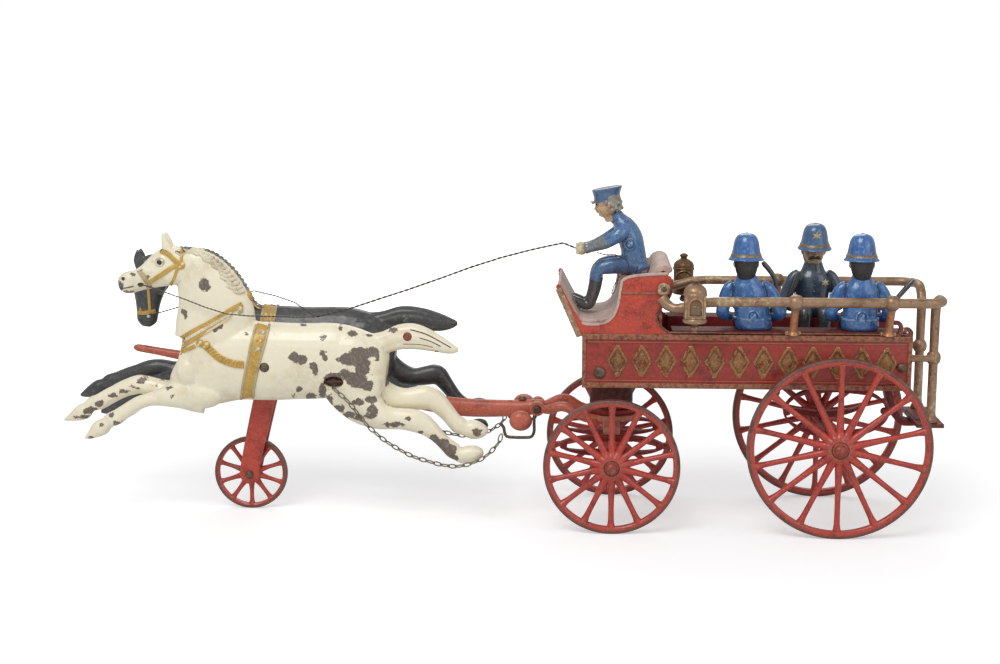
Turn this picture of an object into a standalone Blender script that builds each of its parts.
"""Cast iron toy horse carriage: a patrol wagon with a driver, three officers and two galloping horses.

Lengths in this file are in millimetres. X runs toward the wagon's tail and is counted from the rear
axle, the near side is -Y, and Z is height above the floor. Each finished node is one casting or wire.
"""

import math

import bmesh
import bpy
from mathutils import Vector

MM = 0.001
REAR_AXLE_X = 202.9  # place of the rear axle in the part's own frame

GAP = 0.3  # between castings that are riveted together
RUN = 0.35  # around pins that something turns on

# Wheels
REAR_WHEEL_R = 54.0
FRONT_WHEEL_R = 40.6
TEAM_WHEEL_R = 22.9
REAR_WHEEL_Y = 46.6
FRONT_WHEEL_Y = 43.4
FRONT_AXLE_X = -132.7
TEAM_WHEEL_X = -357.6
AXLE_R = 2.3
RIM_WIDE = 5.2
HUB_LONG = 11.0
SPOKE_R = 1.5
SPOKES = 14
TEAM_SPOKES = 10

# Wagon body
SIDE_Y = 38.0  # outer face of a side casting
SIDE_THICK = 3.0
INSIDE_Y = SIDE_Y - SIDE_THICK - GAP
BODY_FRONT = -150.8
BODY_TAIL = 41.5
SIDE_BOTTOM = 87.2
SIDE_TOP = 119.6
FLOOR_BOTTOM = 88.6
FLOOR_TOP = 90.8
BENCH_TOP = 121.4
BENCH_FRONT = -98.0
SEAT_TOP = 150.6
SEAT_FRONT = -127.2

# Rails, lamps and step
RAIL_Y = 46.5
RAIL_Z = 140.4
RAIL_R = 2.9
RAIL_POSTS = (-27.9, 27.1)
GRIP_X = 57.5
GRIP_Y = 20.0
GRIP_R = 2.6
GRIP_FOOT = 64.9
TREAD_PROUD = 0.4  # the step's tread above the feet of the grips
LAMP_X = -86.4
LAMP_R = 6.4
LAMP_Y = RAIL_Y + RAIL_R + GAP + 1.2 + LAMP_R

# Front truck, pole and team
DRUM_R = 14.8
DRUM_BOTTOM = 65.2
RING_BOTTOM = 61.2
KING_PIN_R = 2.2
POLE_PIN_X = -178.0
POLE_PIN_Z = 67.4
PIN_R = 1.8
BAR_X = -187.4
HORSE_Y = 23.0
HORSE_HALF = 13.4
CROSS_X = -340.3
CROSS_Z = 97.0
CROSS_R = 2.0

# Figures
DRIVER_Y = 0.0
OFFICER_Y = 26.0
OFFICER_XS = (-54.9, -8.6, 12.4)

IRON_RED = (0.52, 0.05, 0.03, 1.0)
GILT = (0.55, 0.36, 0.12, 1.0)
BLUE = (0.02, 0.09, 0.33, 1.0)
CREAM = (0.78, 0.72, 0.52, 1.0)
BLACK = (0.03, 0.032, 0.034, 1.0)
BARE = (0.22, 0.17, 0.13, 1.0)


def clear_scene():
    for item in list(bpy.data.objects):
        bpy.data.objects.remove(item, do_unlink=True)


def point(x, y, z):
    return Vector(((x + REAR_AXLE_X) * MM, y * MM, z * MM))


def add_mesh(name, verts, faces):
    """A new object from points in millimetres, with its faces turned outward."""
    mesh = bpy.data.meshes.new(name)
    mesh.from_pydata([point(*v) for v in verts], [], faces)
    form = bmesh.new()
    form.from_mesh(mesh)
    bmesh.ops.recalc_face_normals(form, faces=form.faces)
    form.to_mesh(mesh)
    form.free()
    item = bpy.data.objects.new(name, mesh)
    bpy.context.collection.objects.link(item)
    return item


def skin(name, rings):
    """A closed body over rings of equal count, with a flat face on each end."""
    count = len(rings[0])
    verts = [v for ring in rings for v in ring]
    faces = []
    for k in range(len(rings) - 1):
        for i in range(count):
            j = (i + 1) % count
            a = k * count
            b = a + count
            faces.append((a + i, a + j, b + j, b + i))
    faces.append(tuple(range(count)))
    faces.append(tuple(range(len(verts) - count, len(verts))))
    return add_mesh(name, verts, faces)


def block(x0, x1, y0, y1, z0, z1):
    ring = [(x0, y0), (x1, y0), (x1, y1), (x0, y1)]
    return skin("block", [[(x, y, z) for x, y in ring] for z in (z0, z1)])


def prism(outline, y0, y1):
    """A flat casting: an outline of (x, z) points, solid from y0 to y1."""
    return skin("prism", [[(x, y, z) for x, z in outline] for y in (y0, y1)])


def circle(count, turn=0.0):
    step = 2 * math.pi / count
    return [(math.cos(turn + i * step), math.sin(turn + i * step)) for i in range(count)]


def turned(axis, centre, profile, count=16, turn=0.0):
    """A turned body: profile is (distance along the axis, radius) and the axis is X, Y or Z."""
    cx, cy, cz = centre
    rings = []
    for along, radius in profile:
        ring = []
        for c, s in circle(count, turn):
            if axis == "X":
                ring.append((cx + along, cy + radius * c, cz + radius * s))
            elif axis == "Y":
                ring.append((cx + radius * c, cy + along, cz + radius * s))
            else:
                ring.append((cx + radius * c, cy + radius * s, cz + along))
        rings.append(ring)
    return skin("turned", rings)


def rod(axis, centre, start, end, radius, count=16, turn=0.0):
    return turned(axis, centre, [(start, radius), (end, radius)], count, turn)


def limb(path, count=12):
    """A tapering member in the X-Z plane. Each point is (x, z, radius in that plane, radius in Y, y)."""
    rings = []
    last = len(path) - 1
    for k, (x, z, wide, deep, y) in enumerate(path):
        before = path[max(k - 1, 0)]
        after = path[min(k + 1, last)]
        along = Vector((after[0] - before[0], after[1] - before[1])).normalized()
        side = (-along.y, along.x)
        rings.append([(x + side[0] * wide * c, y + deep * s, z + side[1] * wide * c) for c,
                      s in circle(count)])
    return skin("limb", rings)


def across(sections, count=12):
    """A member along Y. Each section is (y, x, z, radius in X, radius in Z)."""
    rings = [[(x + rx * c, y, z + rz * s) for c, s in circle(count)] for y, x, z, rx, rz in sections]
    return skin("across", rings)


def upright(sections, count=12):
    """A member along Z. Each section is (z, x, y, radius in X, radius in Y)."""
    rings = [[(x + rx * c, y + ry * s, z) for c, s in circle(count)] for z, x, y, rx, ry in sections]
    return skin("upright", rings)


def bend(points, radius, steps=4):
    """Rounds the inner corners of a path of points with arcs of one radius."""
    path = [Vector(points[0])]
    for k in range(1, len(points) - 1):
        here = Vector(points[k])
        back = (Vector(points[k - 1]) - here).normalized()
        ahead = (Vector(points[k + 1]) - here).normalized()
        half = back.angle(ahead) / 2
        reach = radius / math.tan(half)
        middle = here + (back + ahead).normalized() * radius / math.sin(half)
        start = (here + back * reach - middle).normalized()
        end = (here + ahead * reach - middle).normalized()
        for i in range(steps + 1):
            path.append(middle + start.slerp(end, i / steps) * radius)
    path.append(Vector(points[-1]))
    return path


def tube(points, radius, count=10):
    """A round bar along a path in space, without twist. The radius may be a list, one for each point."""
    path = [Vector(p) for p in points]
    radii = radius if isinstance(radius, (list, tuple)) else [radius] * len(path)
    rings = []
    side = None
    last = len(path) - 1
    for k, here in enumerate(path):
        before = (here - path[max(k - 1, 0)]).normalized()
        after = (path[min(k + 1, last)] - here).normalized()
        along = (before + after).normalized()
        if side is None:
            side = along.orthogonal()
        side = (side - along * side.dot(along)).normalized()
        over = along.cross(side)
        open_out = 1.0
        if 0 < k < last:
            open_out = 1.0 / max(math.cos(before.angle(after) / 2), 0.7)
        bow = after - before
        bow = bow.normalized() if bow.length > 1e-6 else side
        ring = []
        for c, s in circle(count):
            offset = side * c + over * s
            offset += bow * offset.dot(bow) * (open_out - 1.0)
            ring.append(tuple(here + offset * radii[k]))
        rings.append(ring)
    return skin("tube", rings)


def bake(item):
    """Replaces an object's mesh by what its modifiers give."""
    depsgraph = bpy.context.evaluated_depsgraph_get()
    mesh = bpy.data.meshes.new_from_object(item.evaluated_get(depsgraph))
    item.modifiers.clear()
    item.data = mesh
    return item


def combine(base, others, operation):
    for other in others:
        change = base.modifiers.new(operation.title(), "BOOLEAN")
        change.operation = operation
        change.solver = "EXACT"
        change.object = other
        bake(base)
        bpy.data.objects.remove(other, do_unlink=True)
    return base


def fuse(base, *others):
    return combine(base, others, "UNION")


def cut(base, *others):
    return combine(base, others, "DIFFERENCE")


def copy_of(item):
    twin = item.copy()
    twin.data = item.data.copy()
    bpy.context.collection.objects.link(twin)
    return twin


def mirrored(item):
    """The same casting for the other side of the wagon."""
    twin = copy_of(item)
    for v in twin.data.vertices:
        v.co.y = -v.co.y
    twin.data.flip_normals()
    return twin


def melt(parts, voxel, faces):
    """Casts overlapping members into one smooth skin with about this many faces."""
    for part in parts[1:]:
        form = bmesh.new()
        form.from_mesh(parts[0].data)
        form.from_mesh(part.data)
        form.to_mesh(parts[0].data)
        form.free()
        bpy.data.objects.remove(part, do_unlink=True)
    body = parts[0]
    remesh = body.modifiers.new("Cast", "REMESH")
    remesh.mode = "VOXEL"
    remesh.voxel_size = voxel * MM
    soft = body.modifiers.new("Soften", "SMOOTH")
    soft.factor = 0.5
    soft.iterations = 3
    bake(body)
    thin = body.modifiers.new("Thin", "DECIMATE")
    thin.ratio = faces / sum(len(p.vertices) - 2 for p in body.data.polygons)
    bake(body)
    return body


def drop_crumbs(form):
    """Clears the flat slivers of a few points that a cut can leave beside a casting."""
    seen = set()
    for start in form.verts[:]:
        if start in seen:
            continue
        seen.add(start)
        island = [start]
        for v in island:
            for edge in v.link_edges:
                other = edge.other_vert(v)
                if other not in seen:
                    seen.add(other)
                    island.append(other)
        if len(island) < 8:
            bmesh.ops.delete(form, geom=island, context="VERTS")


def finish(item, name, colour, metallic=0.3, roughness=0.45, pivot=None):
    """Names a finished node, gives it its own material and puts its origin on its joint."""
    form = bmesh.new()
    form.from_mesh(item.data)
    bmesh.ops.remove_doubles(form, verts=form.verts, dist=0.004 * MM)
    bmesh.ops.dissolve_degenerate(form, edges=form.edges, dist=0.004 * MM)
    bmesh.ops.dissolve_limit(form, angle_limit=0.002, verts=form.verts, edges=form.edges)
    drop_crumbs(form)
    bmesh.ops.triangulate(form, faces=form.faces)
    form.to_mesh(item.data)
    form.free()
    item.name = name
    item.data.name = name
    material = bpy.data.materials.new(name)
    material.use_nodes = True
    shader = material.node_tree.nodes["Principled BSDF"]
    shader.inputs["Base Color"].default_value = colour
    shader.inputs["Metallic"].default_value = metallic
    shader.inputs["Roughness"].default_value = roughness
    material.diffuse_color = colour
    item.data.materials.clear()
    item.data.materials.append(material)
    if pivot:
        place = point(*pivot)
        for v in item.data.vertices:
            v.co -= place
        item.location = place
    return item


def wire(name, points, thickness, colour, pivot=None):
    """A wire or a chain as one round cord with a filled cap on each end."""
    curve = bpy.data.curves.new(name, "CURVE")
    curve.dimensions = "3D"
    curve.bevel_depth = thickness / 2 * MM
    curve.bevel_resolution = 2
    curve.use_fill_caps = True
    curve.resolution_u = 1
    line = curve.splines.new("POLY")
    line.points.add(len(points) - 1)
    place = point(*pivot) if pivot else Vector((0, 0, 0))
    for spot, p in zip(line.points, points):
        spot.co = (*(point(*p) - place), 1.0)
    item = bpy.data.objects.new(name, curve)
    item.location = place
    bpy.context.collection.objects.link(item)
    material = bpy.data.materials.new(name)
    material.use_nodes = True
    material.node_tree.nodes["Principled BSDF"].inputs["Base Color"].default_value = colour
    curve.materials.append(material)
    return item


def rivet(axis, centre, out, shank, head, proud, count=10):
    """A pin hammered over at both ends: the heads sit on faces at this distance on either side."""
    return turned(axis, centre, [
        (-out - proud, head * 0.55), (-out, head), (-out, shank),
        (out, shank), (out, head), (out + proud, head * 0.55),
    ], count)


def wheel(radius, y, x, spokes, rim_deep, hub_r, bore_r, half_hub, spoke_r, rim_half):
    """A cast spoked wheel on an axle along Y. The spokes start inside the hub and end inside the rim."""
    centre = (x, y, radius)
    count = spokes * 2
    inner = radius - rim_deep
    profile = [(-rim_half, radius), (rim_half, radius), (rim_half * 0.7, inner), (-rim_half * 0.7, inner)]
    verts = []
    faces = []
    size = len(profile)
    for k, (c, s) in enumerate(circle(count, math.pi / 2)):
        verts += [(x + r * c, y + a, radius + r * s) for a, r in profile]
        for i in range(size):
            j = (i + 1) % size
            a, b = k * size, ((k + 1) % count) * size
            faces.append((a + i, a + j, b + j, b + i))
    rim = add_mesh("rim", verts, faces)
    hub = turned("Y", centre, [
        (-half_hub, hub_r * 0.64), (-half_hub * 0.42, hub_r), (half_hub * 0.42, hub_r),
        (half_hub, hub_r * 0.64),
    ], spokes, math.pi / 2 + math.pi / spokes)
    arms = []
    for k in range(spokes):
        angle = 2 * math.pi * k / spokes + math.pi / 2
        c, s = math.cos(angle), math.sin(angle)
        start, end = hub_r * 0.8, inner + rim_deep * 0.45
        rings = []
        for reach, wide in ((start, spoke_r * 1.1), (end, spoke_r * 1.25)):
            rings.append([
                (x + c * reach - s * wide * u, y + wide * 0.9 * v, radius + s * reach + c * wide * u)
                for u, v in circle(4, math.pi / 4)
            ])
        arms.append(skin("spoke", rings))
    body = fuse(hub, *arms)
    body = fuse(rim, body)
    cut(body, rod("Y", centre, -half_hub - 1, half_hub + 1, bore_r, 14, math.pi / 14))
    return body


def wagon_wheels():
    bore = AXLE_R + RUN
    rear = wheel(REAR_WHEEL_R, -REAR_WHEEL_Y, 0.0, SPOKES, 4.6, 7.4, bore, HUB_LONG / 2, SPOKE_R,
                 RIM_WIDE / 2)
    front = wheel(FRONT_WHEEL_R, -FRONT_WHEEL_Y, FRONT_AXLE_X, SPOKES, 4.2, 6.6, bore, HUB_LONG / 2,
                  SPOKE_R, RIM_WIDE / 2)
    for tag, item, x, radius, y in (
        ("rear", rear, 0.0, REAR_WHEEL_R, REAR_WHEEL_Y),
        ("front", front, FRONT_AXLE_X, FRONT_WHEEL_R, FRONT_WHEEL_Y),
    ):
        finish(mirrored(item), "off_" + tag + "_wheel", IRON_RED, pivot=(x, y, radius))
        finish(item, "near_" + tag + "_wheel", IRON_RED, pivot=(x, -y, radius))


def axle(name, x, z, hub_y, pivot):
    """A plain rod whose ends are hammered over outside the hubs."""
    out = hub_y + HUB_LONG / 2 + GAP
    finish(rivet("Y", (x, 0, z), out, AXLE_R, 4.3, 2.2, 14), name, BARE, 0.7, pivot=pivot)


def side_outline():
    """The outline of a side casting, from the lower front corner round past the dash and the seat."""
    dash = [(BODY_FRONT, SIDE_BOTTOM), (BODY_FRONT, 117.3), (-166.4, 147.4), (-164.2, 148.6),
            (-152.2, 127.2)]
    toe = [(-150.2, 125.4), (-137.2, 125.4), (-131.6, 130.6), (-129.4, 137.0), (-128.4, 144.6),
           (-127.6, 151.0)]
    seat = [(-120.5, 154.0), (-100.3, 155.4), (-98.9, 148.6), (-99.6, 142.4), (-103.9, 137.0)]
    tail = [(-107.2, 133.0), (-106.6, 127.4), (-103.4, 124.0), (-99.8, SIDE_TOP), (BODY_TAIL, SIDE_TOP)]
    return dash + toe + seat + tail + [(BODY_TAIL, SIDE_BOTTOM)]


def side_castings():
    outer = -SIDE_Y
    inner = outer + SIDE_THICK
    body = prism(side_outline(), outer + 0.8, inner)
    top = block(BODY_FRONT, BODY_TAIL, outer - 0.4, inner, SIDE_TOP - 3.8, SIDE_TOP)
    foot = block(BODY_FRONT, BODY_TAIL, outer, inner, SIDE_BOTTOM, SIDE_BOTTOM + 3.4)
    front = block(BODY_FRONT, BODY_FRONT + 3.2, outer, inner, SIDE_BOTTOM, SIDE_TOP - 2)
    back = block(BODY_TAIL - 3.2, BODY_TAIL, outer, inner, SIDE_BOTTOM, SIDE_TOP - 2)
    moulding = block(-128.0, -99.6, outer, inner, 142.6, 144.6)
    tail_post = block(BODY_TAIL - 3.0, BODY_TAIL, inner - 1, -GRIP_Y - 1.0, SIDE_BOTTOM, SIDE_TOP)
    fuse(body, top, foot, front, back, moulding, tail_post)
    lozenges = []
    for k in range(9):
        x = -126.0 + k * 19.0
        wide, high = (8.4, 7.6) if k % 2 == 0 else (5.6, 5.6)
        ring = [(wide, 0), (0, high), (-wide, 0), (0, -high)]
        rings = [[(x + u, outer + 1.2, 104.4 + v) for u, v in ring]]
        rings.append([(x + u * 0.7, outer + 0.1, 104.4 + v * 0.7) for u, v in ring])
        lozenges.append(skin("lozenge", rings))
    fuse(body, *lozenges)
    cut(
        body,
        rod("Y", (-140.3, 0, 96.3), outer - 1, inner + 1, 1.9),
        rod("Y", (35.7, 0, 101.1), outer - 1, inner + 1, 1.9),
        rod("Y", (-103.5, 0, 146.6), outer - 1, inner + 1, 1.5),
    )
    finish(mirrored(body), "off_side_panel", IRON_RED)
    finish(body, "near_side_panel", IRON_RED)


def tie_rods():
    for name, x, z, head in (("front_tie_rod", -140.3, 96.3, 3.6), ("rear_tie_rod", 35.7, 101.1, 2.8)):
        out = SIDE_Y + GAP - (0.8 if name == "front_tie_rod" else 0.0)
        finish(rivet("Y", (x, 0, z), out, 1.6, head, 1.5), name, BARE, 0.7)


def bed():
    floor = block(BODY_FRONT + 3.0, BODY_TAIL - 3.3, -INSIDE_Y, INSIDE_Y, FLOOR_BOTTOM, FLOOR_TOP)
    cut(floor, rod("Z", (FRONT_AXLE_X, 0, 0), FLOOR_BOTTOM - 1, FLOOR_TOP + 1, KING_PIN_R + GAP))
    for x in range(-110, 31, 20):
        cut(floor, block(x - 0.4, x + 0.4, -INSIDE_Y + 3, INSIDE_Y - 3, FLOOR_TOP - 0.5, FLOOR_TOP + 1))
    finish(floor, "bed_floor", IRON_RED)
    outline = [
        (BODY_FRONT + 0.4, FLOOR_TOP + GAP), (BODY_FRONT + 0.4, 117.0), (-165.6, 147.8), (-163.8, 148.8),
        (-151.6, 127.6), (-136.6, 127.6), (-131.2, 132.0), (-128.4, 138.0), (-127.4, 147.2),
        (-125.4, 147.2), (-126.4, 137.4), (-129.6, 130.6), (-135.8, 125.7), (-148.4, 125.7),
        (-148.4, FLOOR_TOP + GAP),
    ]
    finish(prism(outline, -INSIDE_Y, INSIDE_Y), "footboard", IRON_RED)
    for name, sign in (("near_bench", -1), ("off_bench", 1)):
        y0, y1 = sorted((sign * INSIDE_Y, sign * 18.5))
        top = block(BENCH_FRONT, BODY_TAIL - 3.3, y0, y1, BENCH_TOP - 2.4, BENCH_TOP)
        front0, front1 = sorted((sign * 18.5, sign * 20.5))
        skirt = block(BENCH_FRONT, BODY_TAIL - 3.3, front0, front1, BENCH_TOP - 11.4, BENCH_TOP - 1)
        feet = (BENCH_FRONT + 1.0, BENCH_FRONT + 68.0, BODY_TAIL - 11.5)
        legs = [block(x, x + 3, front0, front1, FLOOR_TOP + GAP, BENCH_TOP - 10.4) for x in feet]
        finish(fuse(top, skirt, *legs), name, IRON_RED)


def driver_seat():
    plank = block(SEAT_FRONT + 0.3, -104.0, -INSIDE_Y, INSIDE_Y, SEAT_TOP - 2.6, SEAT_TOP)
    outline = [
        (-111.0, SEAT_TOP - 1), (-110.2, 158.0), (-108.8, 164.0), (-106.2, 167.2), (-101.8, 167.8),
        (-98.4, 165.0), (-98.6, 161.6), (-101.8, 160.4), (-103.4, 163.6), (-105.8, 161.4), (-107.4, 156.0),
        (-108.0, SEAT_TOP - 2),
    ]
    back = prism(outline, -INSIDE_Y, INSIDE_Y)
    apron = block(-106.2, -104.0, -INSIDE_Y, INSIDE_Y, 122.6, SEAT_TOP - 1)
    body = fuse(plank, back, apron)
    for k in range(9):
        y = -28.0 + k * 7.0
        cut(body, block(-114.0, -109.6, y - 0.5, y + 0.5, SEAT_TOP + 2, 163.0))
    finish(body, "driver_seat", IRON_RED)


def rails():
    """Side rail with two posts, a rear grip with a foot on the step, and an eye on the seat casting."""
    path = bend([
        (-103.5, -SIDE_Y - 2.6, 143.8), (-99.6, -43.4, 137.0), (-84.0, -RAIL_Y, 139.4),
        (-70.0, -RAIL_Y, RAIL_Z),
    ], 4.0, 1)[:-1]
    path += bend([
        (-66.0, -RAIL_Y, RAIL_Z), (GRIP_X, -RAIL_Y, RAIL_Z), (GRIP_X, -GRIP_Y, RAIL_Z),
        (GRIP_X, -GRIP_Y, GRIP_FOOT + 3.0),
    ], 11.0, 3)
    body = tube(path, [1.9, 2.4] + [RAIL_R] * (len(path) - 3) + [GRIP_R], 7)
    eye = rod("Y", (-103.5, 0, 146.6), -SIDE_Y - GAP - 2.6, -SIDE_Y - GAP, 3.6, 12)
    foot = turned("Z", (GRIP_X + 1.0, -GRIP_Y, 0), [
        (GRIP_FOOT, 3.9), (GRIP_FOOT + 2.2, 3.9), (GRIP_FOOT + 6.0, GRIP_R * 0.9),
    ], 10)
    arm = turned("X", (0, -GRIP_Y - 3.2, 104.0), [
        (BODY_TAIL + GAP, 3.2), (BODY_TAIL + GAP + 2.4, 3.0), (BODY_TAIL + GAP + 3.4, 1.9), (GRIP_X, 1.9),
    ], 6)
    knuckle = turned("Z", (GRIP_X, -GRIP_Y, 104.0), [(-4.0, 2.7), (0, 4.1), (4.0, 2.7)], 8)
    fuse(body, eye, foot, knuckle, arm)
    for x in RAIL_POSTS:
        post = tube([(x, -37.0, SIDE_TOP + 1.2), (x, -39.6, 126.0),
                     (x, -RAIL_Y, RAIL_Z)], [3.1, 2.3, 2.3], 6)
        foot = block(x - 4.2, x + 4.2, -SIDE_Y - 0.2, -SIDE_Y + 3.0, SIDE_TOP + GAP, SIDE_TOP + 2.4)
        ball = turned("X", (x, -RAIL_Y, RAIL_Z), [(-4.2, 2.4), (-1.2, 4.3), (1.2, 4.3), (4.2, 2.4)], 8)
        fuse(body, fuse(fuse(ball, post), foot))
    cut(body, rod("Y", (-103.5, 0, 146.6), -SIDE_Y - 5, -SIDE_Y, 1.5, 10))
    finish(mirrored(body), "off_rail", GILT, 0.7)
    finish(body, "near_rail", GILT, 0.7)


def lamps():
    """Side lamps: a turned case with a chimney, a round glass rim on both sides and a pad on the rail."""
    case = turned("Z", (LAMP_X, -LAMP_Y, 0), [
        (124.6, 1.0), (126.6, 2.0), (128.0, 5.8), (130.6, 6.8), (132.2, LAMP_R), (146.8, LAMP_R),
        (148.0, 5.4), (149.2, 6.9), (151.0, 6.2), (153.0, 2.4), (156.2, 1.2),
    ], 10)
    rims = []
    for sign in (-1, 1):
        y0, y1 = sorted((-LAMP_Y + sign * (LAMP_R - 1.4), -LAMP_Y + sign * (LAMP_R + 0.7)))
        rims.append(rod("Y", (LAMP_X, 0, 140.0), y0, y1, 4.2, 10))
    pad = block(LAMP_X - 2.4, LAMP_X + 2.4, -LAMP_Y + LAMP_R - 1, -RAIL_Y - RAIL_R - GAP, 136.6, 142.0)
    fuse(case, *rims, pad)
    finish(mirrored(case), "off_lamp", GILT, 0.7)
    finish(case, "near_lamp", GILT, 0.7)


def step_and_hanger():
    step = block(GRIP_X - 9.0, GRIP_X + 7.2, -GRIP_Y - 4.8, GRIP_Y + 4.8, GRIP_FOOT - GAP - 2.4,
                 GRIP_FOOT - GAP)
    tread = block(GRIP_X - 8.0, GRIP_X + 6.2, -GRIP_Y + 5.6, GRIP_Y - 5.6, GRIP_FOOT - 2,
                  GRIP_FOOT + TREAD_PROUD)
    finish(fuse(step, tread), "rear_step", IRON_RED)
    low = GRIP_FOOT - GAP * 2 - 2.4
    outline = [
        (20.0, FLOOR_BOTTOM - GAP), (35.6, FLOOR_BOTTOM - GAP), (37.2, 78.0), (40.4, 68.0), (45.0, low),
        (60.0, low), (60.0, low - 2.2), (51.0, low - 3.4), (43.6, low - 4.0), (37.6, 64.0), (33.4, 76.0),
        (31.6, FLOOR_BOTTOM - GAP - 2.4), (20.0, FLOOR_BOTTOM - GAP - 2.4),
    ]
    finish(prism(outline, -7.0, 7.0), "step_hanger", IRON_RED)


def leaf_spring(name, x, y, z, long, high, thick, wide, count, pivot):
    """A full elliptic spring: an oval band with an eye on each end and a pad above and below."""
    rings = []
    for face in (y - wide / 2, y + wide / 2):
        outer = [(x + (long + thick) * c, face, z + high * s) for c, s in circle(count)]
        inner = [(x + (long - thick * 1.6) * c, face, z + (high - thick) * s) for c, s in circle(count)]
        rings.append((outer, inner))
    verts = rings[0][0] + rings[0][1] + rings[1][0] + rings[1][1]
    faces = []
    for i in range(count):
        j = (i + 1) % count
        a, b, c, d = 0, count, 2 * count, 3 * count
        faces += [
            (a + i, a + j, b + j, b + i), (c + i, d + i, d + j, c + j),
            (a + i, c + i, c + j, a + j), (b + i, b + j, d + j, d + i),
        ]
    body = add_mesh(name, verts, faces)
    eyes = [rod("Y",
                (x + s * (long - 0.4), y, z), -wide / 2 - 0.5, wide / 2 + 0.5, 2.4, 8, 0.2) for s in (-1, 1)]
    pads = [
        block(x - 4.5, x + 4.5, y - wide / 2 - 0.3, y + wide / 2 + 0.3, z - high - 0.05,
              z - high + thick + 0.6),
        block(x - 4.5, x + 4.5, y - wide / 2 - 0.3, y + wide / 2 + 0.3, z + high - thick - 0.6,
              z + high + 0.05),
    ]
    finish(fuse(body, *eyes, *pads), name, IRON_RED, pivot=pivot)


def springs():
    low = REAR_WHEEL_R + AXLE_R + GAP
    high = FLOOR_BOTTOM - GAP
    for name, sign in (("near_rear_spring", -1), ("off_rear_spring", 1)):
        leaf_spring(name, 0.0, sign * 28.0, (low + high) / 2, 29.0,
                    (high - low) / 2 - 0.05, 2.4, 5.0, 16, None)
    low = FRONT_WHEEL_R + AXLE_R + GAP
    high = RING_BOTTOM - 4.4 - GAP
    king = (FRONT_AXLE_X, 0, 0)
    for name, sign in (("near_front_spring", -1), ("off_front_spring", 1)):
        middle = (low + high) / 2
        leaf_spring(name, FRONT_AXLE_X, sign * 27.0, middle, 29.0,
                    (high - low) / 2 - 0.05, 2.0, 5.0, 16, king)


def truck():
    """Lower half of the fifth wheel with its bolster bar and the two hounds that hold the pole."""
    king = (FRONT_AXLE_X, 0, 0)
    drum = turned("Z", king, [
        (DRUM_BOTTOM, DRUM_R), (DRUM_BOTTOM + 3.0, DRUM_R), (DRUM_BOTTOM + 3.6, DRUM_R - 1.6),
        (FLOOR_BOTTOM - 4.0, DRUM_R - 1.6), (FLOOR_BOTTOM - 3.4, DRUM_R), (FLOOR_BOTTOM - GAP, DRUM_R),
    ], 20)
    cut(drum, rod("Z", king, DRUM_BOTTOM - 1, FLOOR_BOTTOM + 1, KING_PIN_R + GAP))
    finish(drum, "front_bolster", IRON_RED)
    pin = turned("Z", king, [
        (RING_BOTTOM - 4.2, 2.6), (RING_BOTTOM - 2.4, 3.8), (RING_BOTTOM - 2.4, KING_PIN_R),
        (FLOOR_TOP + GAP, KING_PIN_R), (FLOOR_TOP + GAP, 4.4), (FLOOR_TOP + 2.4, 2.4),
    ], 12)
    finish(pin, "king_pin", BARE, 0.7)

    top = DRUM_BOTTOM - RUN
    ring = rod("Z", king, RING_BOTTOM, top, DRUM_R + 1.2, 20)
    bar = block(FRONT_AXLE_X - 5.0, FRONT_AXLE_X + 5.0, -30.5, 30.5, RING_BOTTOM - 4.4, RING_BOTTOM)
    pocket = rod("Z", king, RING_BOTTOM - 6, RING_BOTTOM - 2.4 + RUN, 4.2, 12)
    body = fuse(ring, bar)
    for sign in (-1, 1):
        arm = tube([
            (FRONT_AXLE_X - 8.0, sign * 11.5, 62.8), (-151.0, sign * 12.0, 63.6),
            (-158.0, sign * 12.0, 68.4),
            (-163.0, sign * 11.6, 69.6), (-169.4, sign * 9.8, 66.8), (-174.0, sign * 7.3, 66.8),
            (-181.6, sign * 7.3, POLE_PIN_Z),
        ], [1.5, 2.9, 3.1, 3.1, 2.7, 2.0, 2.0], 6)
        cheek = rod("Y", (POLE_PIN_X, 0, POLE_PIN_Z), *sorted((sign * 5.0, sign * 9.4)), 4.4, 12)
        fuse(body, arm, cheek)
    cut(
        body, pocket,
        rod("Z", king, RING_BOTTOM - 6, top + 1, KING_PIN_R + RUN),
        rod("Y", (POLE_PIN_X, 0, POLE_PIN_Z), -12, 12, PIN_R + GAP),
    )
    finish(body, "front_truck", IRON_RED, pivot=king)
    finish(rivet("Y",
                 (POLE_PIN_X, 0, POLE_PIN_Z), 9.4 + GAP, PIN_R, 2.9, 1.5), "pole_pin", BARE, 0.7, pivot=king)


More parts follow.
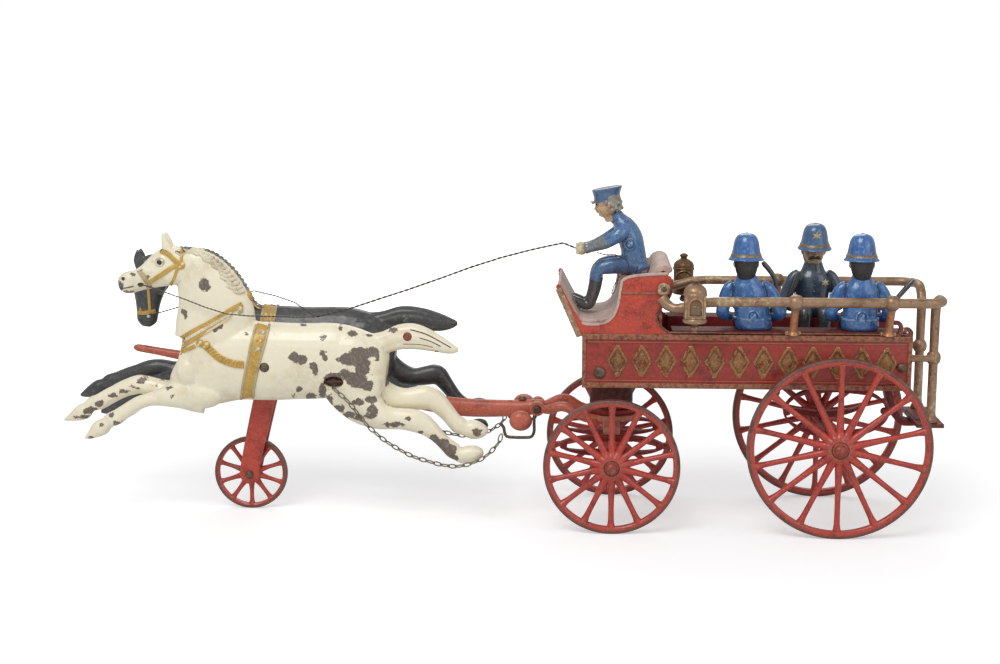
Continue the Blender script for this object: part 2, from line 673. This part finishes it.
def pole():
    """The pole with its pin eye, the eye that carries the team and its rounded tip."""
    hinge = (POLE_PIN_X, 0, POLE_PIN_Z)
    body = limb([
        (-173.4, 67.6, 3.0, 3.4, 0), (-177.0, 67.3, 4.6, 4.2, 0), (-192.0, 66.0, 5.1, 4.1, 0),
        (-216.0, 65.8, 5.7, 3.9, 0), (-236.0, 67.4, 5.7, 3.7, 0), (-262.0, 71.8, 5.2, 3.5, 0),
        (-310.0, 80.2, 4.8, 3.3, 0), (-356.0, 88.4, 4.3, 3.3, 0), (-392.0, 95.6, 3.4, 3.1, 0),
        (-426.0, 101.3, 2.3, 2.3, 0), (-429.4, 101.9, 1.2, 1.2, 0),
    ], 10)
    eye = rod("Y", (CROSS_X, 0, CROSS_Z), -3.4, 3.4, 5.2, 12)
    web = prism([(-348.0, 86.0), (-344.6, 97.0), (-336.0, 97.0), (-332.0, 84.0)], -2.8, 2.8)
    fuse(body, web, eye)
    cut(
        body,
        rod("Y", hinge, -8, 8, PIN_R + RUN),
        rod("Y", (CROSS_X, 0, CROSS_Z), -6, 6, CROSS_R + GAP),
        rod("Z", (BAR_X, 0, 0), 50, 80, 1.4 + GAP),
    )
    finish(body, "pole", IRON_RED, pivot=hinge)

    low = 61.0
    half = [
        (28.0, BAR_X, 63.6, 3.4, 3.4), (26.4, BAR_X, 63.6, 6.8, 6.2), (21.6, BAR_X, 63.0, 7.0, 6.4),
        (16.0, BAR_X, 60.6, 4.6, 4.6), (9.0, BAR_X, 57.6, 3.8, 3.1),
    ]
    bar = across([(-y, *rest) for y, *rest in half] + half[::-1], 10)
    cut(bar, rod("Z", (BAR_X, 0, 0), 50, low + 8, 1.4 + GAP))
    finish(bar, "doubletree", IRON_RED, pivot=hinge)
    pin = turned("Z", (BAR_X, 0, 0), [
        (52.4, 1.6), (54.3 - GAP, 2.9), (54.3 - GAP, 1.4), (71.9, 1.4), (71.9, 3.0), (73.4, 1.6),
    ], 10)
    finish(pin, "doubletree_pin", BARE, 0.7, pivot=hinge)
    for name, sign in (("near_trace_hook", -1), ("off_trace_hook", 1)):
        y = sign * 25.0
        path = bend([
            (BAR_X + 8.15, y, 67.4), (BAR_X + 8.15, y, 53.4), (BAR_X - 9.6, y, 53.4), (BAR_X - 9.6, y, 59.4),
            (BAR_X - 12.4, y, 62.0),
        ], 2.4, 2)
        finish(tube(path, 0.95, 6), name, BARE, 0.7, pivot=hinge)


def team_fork():
    """The forked strut astride the pole, the small wheel in it and the two pins."""
    hinge = (POLE_PIN_X, 0, POLE_PIN_Z)
    foot = (TEAM_WHEEL_X, TEAM_WHEEL_R)
    legs = []
    for sign in (-1, 1):
        y0, y1 = sorted((sign * 4.0, sign * 6.2))
        outline = [
            (-348.2, 104.0), (-333.6, 104.0), (-340.2, 70.0), (-351.4, foot[1] + 2.0),
            (-351.8, foot[1] - 2.2),
            (-354.4, foot[1] - 5.2), (-358.2, foot[1] - 6.2), (-361.6, foot[1] - 4.8),
            (-363.6, foot[1] - 1.6), (-363.8, foot[1] + 2.0), (-354.2, 70.0),
        ]
        legs.append(prism(outline, y0, y1))
    crown = block(-347.6, -334.4, -6.2, 6.2, 102.8, 105.4)
    body = fuse(crown, *legs)
    cut(
        body,
        rod("Y", (CROSS_X, 0, CROSS_Z), -8, 8, CROSS_R + GAP),
        rod("Y", (foot[0], 0, foot[1]), -8, 8, PIN_R + GAP),
    )
    finish(body, "team_wheel_fork", IRON_RED, pivot=hinge)
    small = wheel(TEAM_WHEEL_R, 0.0, TEAM_WHEEL_X, TEAM_SPOKES, 3.0, 4.6, PIN_R + RUN, 3.5, 1.2, 2.0)
    finish(small, "team_wheel", IRON_RED, pivot=(TEAM_WHEEL_X, 0, TEAM_WHEEL_R))
    out = 6.2 + GAP
    pin = rivet("Y", (TEAM_WHEEL_X, 0, TEAM_WHEEL_R), out, PIN_R, 2.9, 1.5)
    finish(pin, "team_wheel_pin", BARE, 0.7, pivot=hinge)
    pin = rivet("Y", (CROSS_X, 0, CROSS_Z), HORSE_Y + HORSE_HALF - 0.4, CROSS_R, 3.2, 1.5, 12)
    finish(pin, "team_cross_pin", BARE, 0.7, pivot=hinge)


def torso(y, lift, inset):
    """The barrel of a horse, or the hollow inside it when inset is more than nought."""
    rows = [
        (-398.2, 94, 8, 5), (-393.6, 94, 21, 10), (-380, 95, 26, 12.6), (-360, 99.5, 26.4, 13.4),
        (-340, 97, 24.4, 13.4), (-318, 98, 24, 13.2), (-300, 98.5, 23.4, 12.8), (-286, 96, 22, 12),
        (-274.5, 93.5, 18.5, 10.5), (-267.6, 92.5, 9, 6),
    ]
    if inset:
        rows = rows[1:-1]
    return limb([(x, z + lift, wide - inset, deep - inset * 0.85, y) for x, z, wide, deep in rows], 16)


def legs(sets, y, shift):
    """Limbs of a horse. Each set is its distance from the horse's middle plane and its own points."""
    return [limb([(x, z, a, b, y + shift * side) for x, z, a, b in rows], 10) for side, rows in sets]


FORE_HOOF = ((0, 0, 4.4, 3.8), (-4.6, -2.6, 3.4, 3.4), (-9.6, -4.6, 0.8, 1.6))


def hoof(x, z):
    return [(x + u, z + v, a, b) for u, v, a, b in FORE_HOOF]


def grey_limbs():
    """Limbs of the near horse, from the chest and the haunch to the hooves."""
    fore_high = [(-388, 88, 13, 7), (-398, 83, 9.5, 6), (-409, 80.4, 6.6, 5.2), (-421, 82.2, 5.9, 4.6),
                 (-433, 78.6, 5.0, 4.0), (-444, 73.2, 4.2, 3.6), (-452.6, 70.4, 4.6, 3.8),
                 (-456.6, 66.8, 3.3, 3.2)]
    fore_low = [(-388, 80, 12, 7), (-398, 76.4, 8.4, 6), (-410, 74.6, 5.9, 5), (-421, 71.6, 5.2, 4.5),
                (-431, 66.4, 4.3, 3.8), (-437.6, 63.0, 4.6, 3.8), (-441.4, 59.6, 3.4, 3.2)]
    hind_high = [(-290, 92, 16, 8), (-276, 82, 12.4, 7.4), (-265, 75.6, 7.6, 6), (-256, 73.8, 5.8, 5.2),
                 (-246, 75.4, 6.6, 5), (-240, 76.4, 6.6, 4.8), (-235, 69.4, 5.2, 4.2),
                 (-229, 60.6, 4.5, 3.9),
                 (-223.6, 56.2, 4.8, 4), (-218, 55.8, 5.2, 4.2), (-212.4, 55.8, 6.2, 4.6),
                 (-207, 53.6, 4, 4), (-201.6, 51.7, 0.8, 1.6)]
    hind_low = [(-292, 84, 17, 8), (-281, 72.6, 13.4, 7.4), (-269, 65.4, 8.6, 6.2), (-257, 63.8, 6.4, 5.4),
                (-248, 63.4, 6.4, 5), (-241.6, 61.0, 6.0, 4.6), (-236, 54, 5, 4.2), (-230.4, 46.6, 4.7, 4),
                (-226, 42.8, 4.8, 4), (-221, 42.2, 4.6, 4.2), (-216, 43.2, 5.2, 4.4), (-212.4, 45.4, 3, 3)]
    return [
        (0.42, fore_high + hoof(-460, 63.9)), (-0.42, fore_low + hoof(-445, 55.0)),
        (0.42, hind_high), (-0.42, hind_low),
    ]


def dark_limbs():
    """Limbs of the far horse, which carries its feet higher."""
    fore_high = [(-390, 90, 13, 7), (-400, 85, 9, 6), (-411, 83, 6.6, 5.2), (-423, 85, 5.8, 4.6),
                 (-436, 81.2, 4.8, 4.0), (-448, 76.4, 4.2, 3.6), (-454.6, 73.6, 4.4, 3.8),
                 (-458.6, 71.4, 3.3, 3.2)]
    fore_low = [(-390, 84, 12, 7), (-400, 80, 8.4, 6), (-411, 78.4, 5.9, 5), (-422, 75, 5.2, 4.5),
                (-433, 70.6, 4.3, 3.8), (-441, 67.0, 4.5, 3.8), (-445, 64, 3.3, 3.2)]
    hind_high = [(-292, 96, 16, 8), (-279, 88, 12, 7.4), (-268, 82.4, 7.6, 6), (-258, 79.4, 5.6, 5.2),
                 (-249, 80.4, 6.4, 5), (-242.4, 81.4, 6.4, 4.8), (-237.6, 75, 5, 4.2), (-231, 66, 4.4, 3.9),
                 (-226, 61.4, 4.8, 4), (-220, 60.8, 5.1, 4.2), (-214.6, 60.8, 6, 4.6), (-209.4, 58.6, 4, 4),
                 (-204.2, 57, 0.8, 1.6)]
    hind_low = [(-292, 88, 17, 8), (-281, 77.4, 13, 7.4), (-269, 70.6, 8.6, 6.2), (-257, 69.4, 6.4, 5.4),
                (-248, 69, 6.3, 5), (-242, 66.8, 6, 4.6), (-236.6, 60, 5, 4.2), (-230.8, 52.8, 4.7, 4),
                (-226.4, 49, 4.8, 4), (-221.4, 48.4, 4.6, 4.2), (-216.4, 49.4, 5.2, 4.4),
                (-212.8, 51.6, 3, 3)]
    return [
        (0.42, fore_high + hoof(-462, 69.6)), (-0.42, fore_low + hoof(-449, 60.8)),
        (0.42, hind_high), (-0.42, hind_low),
    ]


def grey_head(y):
    neck = limb([
        (-373, 112, 26, 11.4, y), (-372.6, 128, 25, 10.4, y), (-375.4, 141, 21.6, 9, y),
        (-380.4, 152, 17, 7.6, y), (-385.6, 160, 10.8, 6.2, y), (-388, 164.4, 5, 3.6, y),
    ], 14)
    head = limb([
        (-389, 158.4, 8, 5.4, y), (-395, 156.8, 12.4, 6.6, y), (-402, 154.6, 12.0, 6.8, y),
        (-409, 151.4, 9.8, 6, y),
        (-415.4, 148.4, 7.8, 5, y), (-421.6, 145.8, 7.0, 4.4, y), (-426.6, 144.8, 6.2, 4.2, y),
        (-429.6, 144.8, 3.4, 2.8, y),
    ], 12)
    ears = [limb([(-397.4, 164, 3, 1.8, y + s), (-400.4, 170.6, 2.5, 1.5, y + s),
                  (-402.8, 176.6, 0.5, 0.5, y + s)], 8)
            for s in (-3.6, 3.6)]
    mane = limb([
        (-388, 166.6, 2.6, 1.8, y), (-378, 166.8, 2.8, 1.8, y), (-368, 160.6, 3.0, 1.8, y),
        (-358.6, 149.6, 3.0, 1.8, y), (-351.6, 137.4, 2.8, 1.8, y), (-346, 129, 1.6, 1.2, y),
    ], 8)
    tail = limb([
        (-280, 107, 8, 5, y), (-270, 110.4, 6.6, 4.6, y), (-260, 114, 7.8, 4.6, y), (-250, 114, 7.8, 4.6, y),
        (-239, 111, 5.8, 4, y), (-230, 107.4, 3.2, 2.8, y), (-225, 106.2, 0.9, 0.9, y),
    ], 10)
    return [neck, head, mane, tail] + ears


def dark_head(y):
    neck = limb([
        (-376, 112, 24, 11.4, y), (-381, 126, 21, 10.2, y), (-388, 140, 17.4, 8.8, y),
        (-397, 148.6, 13, 7.6, y), (-406, 151, 10.6, 6.8, y), (-415, 149.6, 9.6, 6.4, y),
    ], 14)
    head = limb([
        (-414.6, 153, 6, 4.6, y), (-420.6, 147.6, 11.6, 6.4, y), (-424, 139.6, 11, 6.6, y),
        (-425.4, 131, 9.4, 5.8, y),
        (-426, 123.4, 7.6, 4.8, y), (-426.2, 117, 6.6, 4.4, y), (-426.4, 113, 5.2, 3.8, y),
        (-426.6, 111, 2.6, 2.4, y),
    ], 12)
    ears = [limb([(-427.6, 151, 3, 1.8, y + s), (-429.6, 156.4, 2.4, 1.5, y + s),
                  (-430.2, 161.4, 0.5, 0.5, y + s)], 8)
            for s in (-3.6, 3.6)]
    mane = limb([
        (-412, 159.4, 2.4, 1.8, y), (-400, 160.6, 2.6, 1.8, y), (-388, 157, 2.8, 1.8, y),
        (-374, 148, 3, 1.8, y), (-363, 137, 2.8, 1.8, y), (-355, 128, 1.6, 1.2, y),
    ], 8)
    tail = limb([
        (-286, 113, 8, 5, y), (-276, 115.6, 6.4, 4.6, y), (-264, 118.4, 7, 4.6, y),
        (-252, 117.6, 6.8, 4.6, y),
        (-241, 115.6, 5.6, 4, y), (-233.4, 114.8, 3.2, 2.8, y), (-229.2, 115, 0.9, 0.9, y),
    ], 10)
    return [neck, head, mane, tail] + ears


def harness(y, lift):
    """Collar and girth as raised bands of the casting."""
    collar = limb([(-352.0, 136.0 + lift, 2.4, 8.6, y), (-372, 124 + lift, 3, 12.6, y),
                   (-390, 112 + lift, 3, 11.4, y), (-397.6, 107 + lift, 2.4, 6.6, y)], 12)
    girth = limb([(-342.6, 122.6 + lift, 3.6, 7.4, y), (-344.4, 115 + lift, 3.6, 13.0, y),
                  (-348.4, 98 + lift, 3.6, 14.2, y), (-351.6, 82 + lift, 3.4, 12.0, y),
                  (-353, 74.6 + lift, 3.2, 6.0, y)], 12)
    return [collar, girth]


def horse(prefix, sign, parts, lift, slot_z, colour):
    """A hollow horse in two half castings, an outer one and one toward the pole, hung on the cross pin."""
    y = sign * HORSE_Y
    pin = (CROSS_X, 0, CROSS_Z)
    body = melt(parts, 1.3, 720)
    cavity = torso(y, lift, 3.4)
    cut(body, cavity)
    outline = [(-305.2, 0), (-304.0, 2.4), (-301.4, 3.6), (-297.2, 3.6), (-294.4, 2.4), (-293.0, 0),
               (-294.4, -2.4), (-297.2, -3.6), (-301.4, -3.6), (-304.0, -2.4)]
    slot = prism([(x, slot_z + z) for x, z in outline], *sorted((y, y + sign * 20)))
    cut(body, slot, rod("Y", pin, *sorted((y - sign * 20, y + sign * 20)), CROSS_R + RUN, 14))
    out = HORSE_Y + HORSE_HALF
    cut(body, rod("Y", pin, *sorted((sign * (out - 0.9), sign * (out + 4))), 4.0, 14))
    far = block(-490, -180, *sorted((y + sign * GAP / 2, y - sign * 30)), 20, 190)
    near = block(-490, -180, *sorted((y - sign * GAP / 2, y + sign * 30)), 20, 190)
    outer = cut(copy_of(body), far)
    inner = cut(body, near)
    finish(outer, prefix + "_outer_half", colour, 0.1, pivot=pin)
    finish(inner, prefix + "_inner_half", colour, 0.1, pivot=pin)


def horses():
    y = -HORSE_Y
    parts = [torso(y, 0, 0)] + legs(grey_limbs(), y, 12.0) + grey_head(y) + harness(y, 0)
    horse("near_horse", -1, parts, 0, 88.0, CREAM)
    y = HORSE_Y
    parts = [torso(y, 2.6, 0)] + legs(dark_limbs(), y, 12.0) + dark_head(y) + harness(y, 2.6)
    horse("off_horse", 1, parts, 2.6, 89.5, BLACK)


def driver():
    """The driver, cast as a near half and an off half with a peg between them."""
    y = DRIVER_Y
    trunk = limb([
        (-119.8, 151.4, 7.2, 7.4, y), (-120.2, 156, 8.2, 8.6, y), (-120.6, 165, 7.6, 8, y),
        (-123, 174, 7.6, 9.6, y), (-127, 180.6, 6, 9.2, y), (-130, 184.4, 4, 5, y),
    ], 14)
    neck = limb([(-129.6, 182, 4.6, 4.4, y), (-133.4, 188, 4.2, 4.2, y)], 10)
    head = limb([
        (-133.2, 184.4, 2.4, 2.6, y), (-136.4, 186.6, 5.2, 4.4, y), (-137.4, 190.6, 6.8, 5.4, y),
        (-137.8, 195.4, 6.6, 5.6, y), (-138.2, 198, 5, 4.6, y),
    ], 12)
    cap = limb([
        (-137.2, 194.6, 8.4, 7, y), (-137.6, 196.4, 8.8, 7.4, y), (-138.6, 201.6, 7.4, 6.6, y),
        (-139.0, 203.2, 6.4, 5.6, y),
    ], 14)
    brim = limb([(-143.0, 195.6, 1.0, 6.2, y), (-147.4, 193.8, 0.9, 4.8, y),
                 (-149.0, 193.2, 0.6, 2.2, y)], 10)
    pieces = [trunk, neck, head, cap, brim]
    for s in (-1, 1):
        pieces.append(limb([
            (-123.6, 180.4, 3, 3, y + s * 8.6), (-126, 177.6, 4.4, 4.2, y + s * 9.8),
            (-132.6, 173, 4, 3.8, y + s * 10),
            (-139.4, 169.2, 3.6, 3.4, y + s * 7.6), (-146, 166.8, 3, 3, y + s * 4.6),
            (-150.6, 165.6, 3.9, 3.8, y + s * 2.6), (-154.4, 164.8, 2.6, 2.8, y + s * 2.4),
        ], 10))
        pieces.append(limb([
            (-118, 155.4, 5, 4.8, y + s * 4.8), (-129.6, 155.8, 5.2, 5, y + s * 5.6),
            (-138.6, 154.8, 4.8, 4.6, y + s * 6),
            (-142.2, 150.6, 4.4, 4.2, y + s * 6), (-143.6, 143, 4, 3.8, y + s * 6),
            (-145, 136.4, 3.6, 3.6, y + s * 6),
            (-148, 132.6, 3.4, 3.4, y + s * 6.2), (-153, 134.0, 2.8, 3, y + s * 6.4),
            (-156.4, 136.2, 1.4, 2, y + s * 6.4),
        ], 10))
    body = melt(pieces, 0.7, 420)
    cut(body, block(-135, -100, -20, 20, 140, SEAT_TOP + GAP))
    dash = [(-151.2, 127.9), (-163.3, 149.2), (-175, 149.2), (-175, 115), (-130, 115), (-130, 127.9)]
    cut(body, prism(dash, -20, 20))
    peg = (-121.4, y, 169)
    far = block(-170, -100, y - 0.15, y + 30, 110, 215)
    near = block(-170, -100, y - 30, y + 0.15, 110, 215)
    near_half = cut(copy_of(body), far, rod("Y", peg, -14, 1, 1.5, 10))
    off_half = cut(body, near)
    fuse(off_half, rod("Y", (-121.4, 0, 169), y - 9.4, y + 2, 1.2, 10))
    finish(near_half, "driver_near_half", BLUE, 0.1)
    finish(off_half, "driver_off_half", BLUE, 0.1)


def officer(number, x, side, rise, stick):
    """A seated officer in a front and a back half. Side is -1 on the near bench, facing the other one.

    Rise lifts the head. Stick gives the truncheon's (x, forward, up) points from the officer's place.
    """
    face = -side

    def q(u, v):
        return x + u, side * OFFICER_Y + face * v

    base = BENCH_TOP + GAP
    middle = side * OFFICER_Y

    def up(rows):
        return upright([(base + z, *q(u, v), a, b) for z, u, v, a, b in rows], 14)

    trunk = up([(-0.4, 0, 0, 10, 6.8), (3, 0, 0, 11, 7.6), (12, 0, 0, 10.4, 7.2), (20, 0, 0.2, 11.6, 7.6),
                (26, 0, 0.2, 12.6, 6.8), (30, 0, 0, 8.4, 5), (31.4, 0, 0, 4, 3.6)])
    skull = [(32, 0, 0.6, 5.2, 5.6), (36, 0, 0.8, 7, 7), (41, 0, 0.6, 7.6, 7.6), (45, 0, 0.4, 7, 7)]
    head = up([(29, 0, 0.2, 4.2, 4.2)] + [(z + rise, *rest) for z, *rest in skull])
    shell = [(39.4, 0, 0.2, 10.0, 10.6), (41, 0, 0.2, 9.4, 9.8), (44, 0, 0.1, 7.7, 8.0),
             (50, 0, 0, 7.2, 7.4), (53.6, 0, 0, 5.2, 5.4), (55, 0, 0, 2.4, 2.4)]
    helmet = up([(z + rise, *rest) for z, *rest in shell])
    pieces = [trunk, head, helmet]
    for s in (-1, 1):
        path = [(s * 11, 0, 27), (s * 14.2, 0, 24), (s * 17, 0.4, 15), (s * 18, 1.4, 9.6),
                (s * 14.6, 6.2, 6.4), (s * 11, 8.8, 6)]
        pieces.append(tube([(*q(u, v), base + z) for u, v, z in path], [3.2, 4.2, 3.9, 3.8, 3.3, 3.0], 10))
        path = [(s * 5.4, 2, 4.4), (s * 6, 12, 4), (s * 6, 14.6, 1.0), (s * 6, 14.8, -12),
                (s * 6, 14.2, -24), (s * 6.4, 16, -28.6), (s * 6.8, 20.0, -29.0)]
        pieces.append(tube([(*q(u, v), base + z) for u, v, z in path], [4.6, 4.6, 4.6, 3.8, 3.3, 3.0, 2.0],
                           10))
    pieces.append(tube([(*q(u, v), base + z) for u, v, z in stick], [1.2, 1.3, 1.7], 8))
    body = melt(pieces, 0.8, 330)
    cut(body, block(x - 30, x + 30, *sorted((side * 17.9, side * 45)), 100, base))
    cut(body, block(x - 30, x + 30, -45, 45, 80, FLOOR_TOP + GAP))
    behind = block(x - 40, x + 40, *sorted((middle + face * 0.15, middle - face * 40)), 80, 190)
    ahead = block(x - 40, x + 40, *sorted((middle - face * 0.15, middle + face * 40)), 80, 190)
    peg = (x, 0, base + 11)
    front = cut(copy_of(body), behind)
    back = cut(body, ahead, rod("Y", peg, *sorted((middle + face * 1, middle - face * 14)), 1.5, 10))
    fuse(front, rod("Y", peg, *sorted((middle + face * 2, middle - face * 8.4)), 1.2, 10))
    name = "officer_" + str(number)
    pivot = (x, side * OFFICER_Y, base)
    finish(front, name + "_front_half", BLUE, 0.1, pivot=pivot)
    finish(back, name + "_back_half", BLUE, 0.1, pivot=pivot)


def wires():
    hinge = (POLE_PIN_X, 0, POLE_PIN_Z)
    near = [(-299.6, -33.0, 86.2), (-299.2, -36.4, 85.4), (-296, -39.0, 83.0), (-289.7, -38.8, 77.4),
            (-284, -38.6, 69.8), (-278.9, -38.6, 63.0), (-272.6, -38.4, 57.2), (-266.4, -38.2, 52.2),
            (-258.1, -37.8, 47.2),
            (-250.9, -37.4, 43.4), (-242.1, -37.0, 40.8), (-234.1, -36.8, 38.6), (-226.2, -36.4, 37.6),
            (-218.6, -35.6, 38.6), (-210.0, -33.0, 41.8), (-203.8, -29.0, 46.4), (-200.2, -26.2, 50.8),
            (-199.0, -25.0, 55.0)]
    wire("near_trace_chain", near, 1.4, BARE, hinge)
    wire("off_trace_chain", [(x, -y, z + 1.5) for x, y, z in near], 1.4, BARE, hinge)
    twist = [(-154.9, 0, 165.6), (-162.9, -0.6, 168.8), (-171.9, -1.6, 167.0), (-182.8, -2.8, 164.6),
             (-200.9, -5, 160.0), (-219.1, -7, 154.2), (-237.4, -9.2, 147.6), (-256, -11.4, 141.2),
             (-274.2, -13.6, 135.4), (-292.7, -16, 129.4), (-311, -18.6, 125.2)]
    wire("rein_twist", twist, 1.3, BARE)
    pin = (CROSS_X, 0, CROSS_Z)
    near = [(-311.4, -19.2, 125.1), (-322, -24, 125.6), (-334, -32, 127.2), (-349.2, -36.6, 128.2),
            (-362, -37.4, 129.4), (-375, -36.4, 133.2), (-387, -34.6, 137.4), (-398, -33.4, 141.0),
            (-408, -31.6, 144.2), (-414.6, -28.9, 145.2)]
    wire("near_rein", near, 0.9, BARE, pin)
    off = [(-311.4, -18.1, 125.1), (-318, -10, 127.0), (-328.7, 3, 130.6), (-341, 8, 133.6),
           (-354.7, 10.0, 136.4),
           (-372, 9.0, 134.6), (-390, 9.4, 130.0), (-405, 11.6, 125.0), (-417, 14.6, 121.2),
           (-424, 17.7, 119.4)]
    wire("off_rein", off, 0.9, BARE, pin)
    tie = [(-142.4, -11.2, 164.4), (-138.0, -13.6, 163.4), (-131.6, -14.6, 163.6), (-124.6, -13.6, 160.4),
           (-123.0, -13.2, 156.0), (-126.0, -13.4, 152.6), (-129.6, -13.0, 149.2), (-132.0, -12.4, 144.6),
           (-133.4, -12.0, 139.6)]
    wire("driver_tie_wire", tie, 0.8, BARE)


def main():
    clear_scene()
    wagon_wheels()
    axle("rear_axle", 0.0, REAR_WHEEL_R, REAR_WHEEL_Y, None)
    axle("front_axle", FRONT_AXLE_X, FRONT_WHEEL_R, FRONT_WHEEL_Y, (FRONT_AXLE_X, 0, 0))
    side_castings()
    tie_rods()
    bed()
    driver_seat()
    rails()
    lamps()
    step_and_hanger()
    springs()
    truck()
    pole()
    team_fork()
    horses()
    driver()
    officer(1, OFFICER_XS[0], -1, 1.5, [(15.5, 8.0, 5.0), (18.6, 9.0, 26.0), (10.5, 8.6, 38.5)])
    officer(2, OFFICER_XS[1], 1, 3.0, [(-17.0, 7.4, 6.5), (-14.5, 9.0, 13.4), (-9.4, 9.4, 28.5)])
    officer(3, OFFICER_XS[2], -1, 1.5, [(12.5, 8.2, 5.0), (22.1, 9.2, 16.4), (32.4, 9.4, 28.7)])
    wires()


main()
